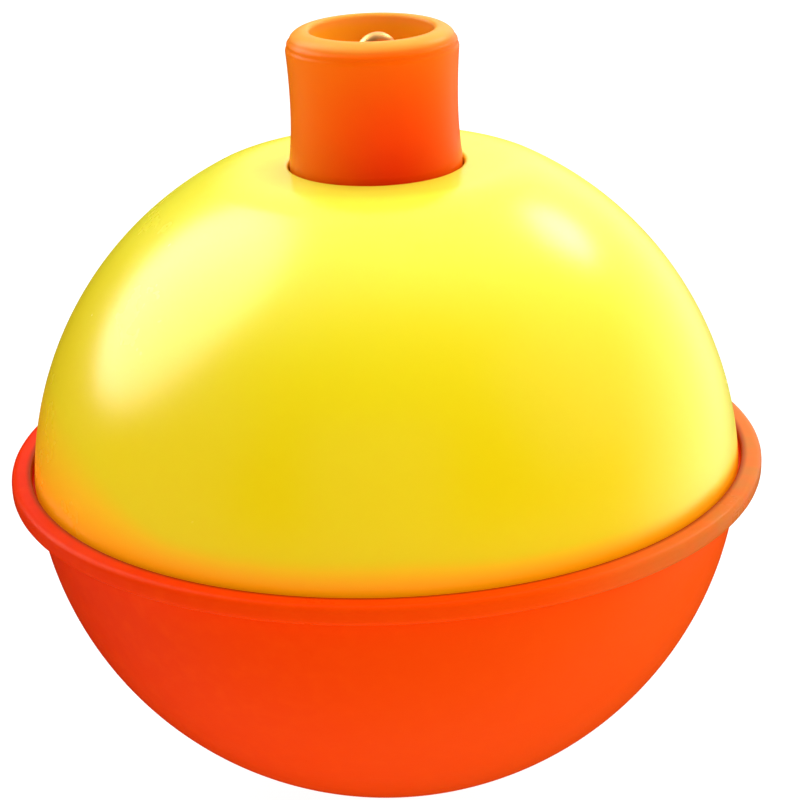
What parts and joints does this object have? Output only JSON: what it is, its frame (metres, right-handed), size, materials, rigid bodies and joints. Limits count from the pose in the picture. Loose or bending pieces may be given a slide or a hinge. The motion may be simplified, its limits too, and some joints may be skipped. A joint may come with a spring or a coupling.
{
  "type": "bobber float",
  "caption": "Round push-button fishing float of two half shells with a lap collar, a sprung button on top and one wire with a line hook at each end.",
  "frame": {"origin": "centre of the float's outline at the flat end of the bottom nub", "axes": "+Z along the float's axis from the nub to the push button; -Y faces the viewer, and the top hook's wire stands towards +X"},
  "size_m": [0.0406, 0.0406, 0.0435],
  "materials": {
    "yellow_plastic": "glossy injection-moulded polystyrene, bright yellow, slightly translucent",
    "orange_plastic": "glossy injection-moulded polystyrene, fluorescent orange-red",
    "button_plastic": "satin-gloss moulded polypropylene, fluorescent orange",
    "brass_wire": "bright drawn brass wire",
    "spring_steel": "drawn and coiled stainless spring wire"
  },
  "bodies": {
    "shell": {"upper_shell": "yellow_plastic", "lower_shell": "orange_plastic", "return_spring": "spring_steel"},
    "wire": {"hook_wire": "brass_wire"},
    "button": {"push_button": "button_plastic"}
  },
  "joints": [
    {"name": "wire_slide", "type": "slide", "parent": "shell", "child": "wire", "axis": [0, 0, 1], "range_m": [-0.005, 0], "stiffness_N_per_m": 500, "springref_m": 0.004, "deforming": ["return_spring"]},
    {"name": "button_slide", "type": "slide", "parent": "wire", "child": "button", "axis": [0, 0, 1], "range_m": [-0.005, 0], "stiffness_N_per_m": 500, "springref_m": 0.004}
  ]
}
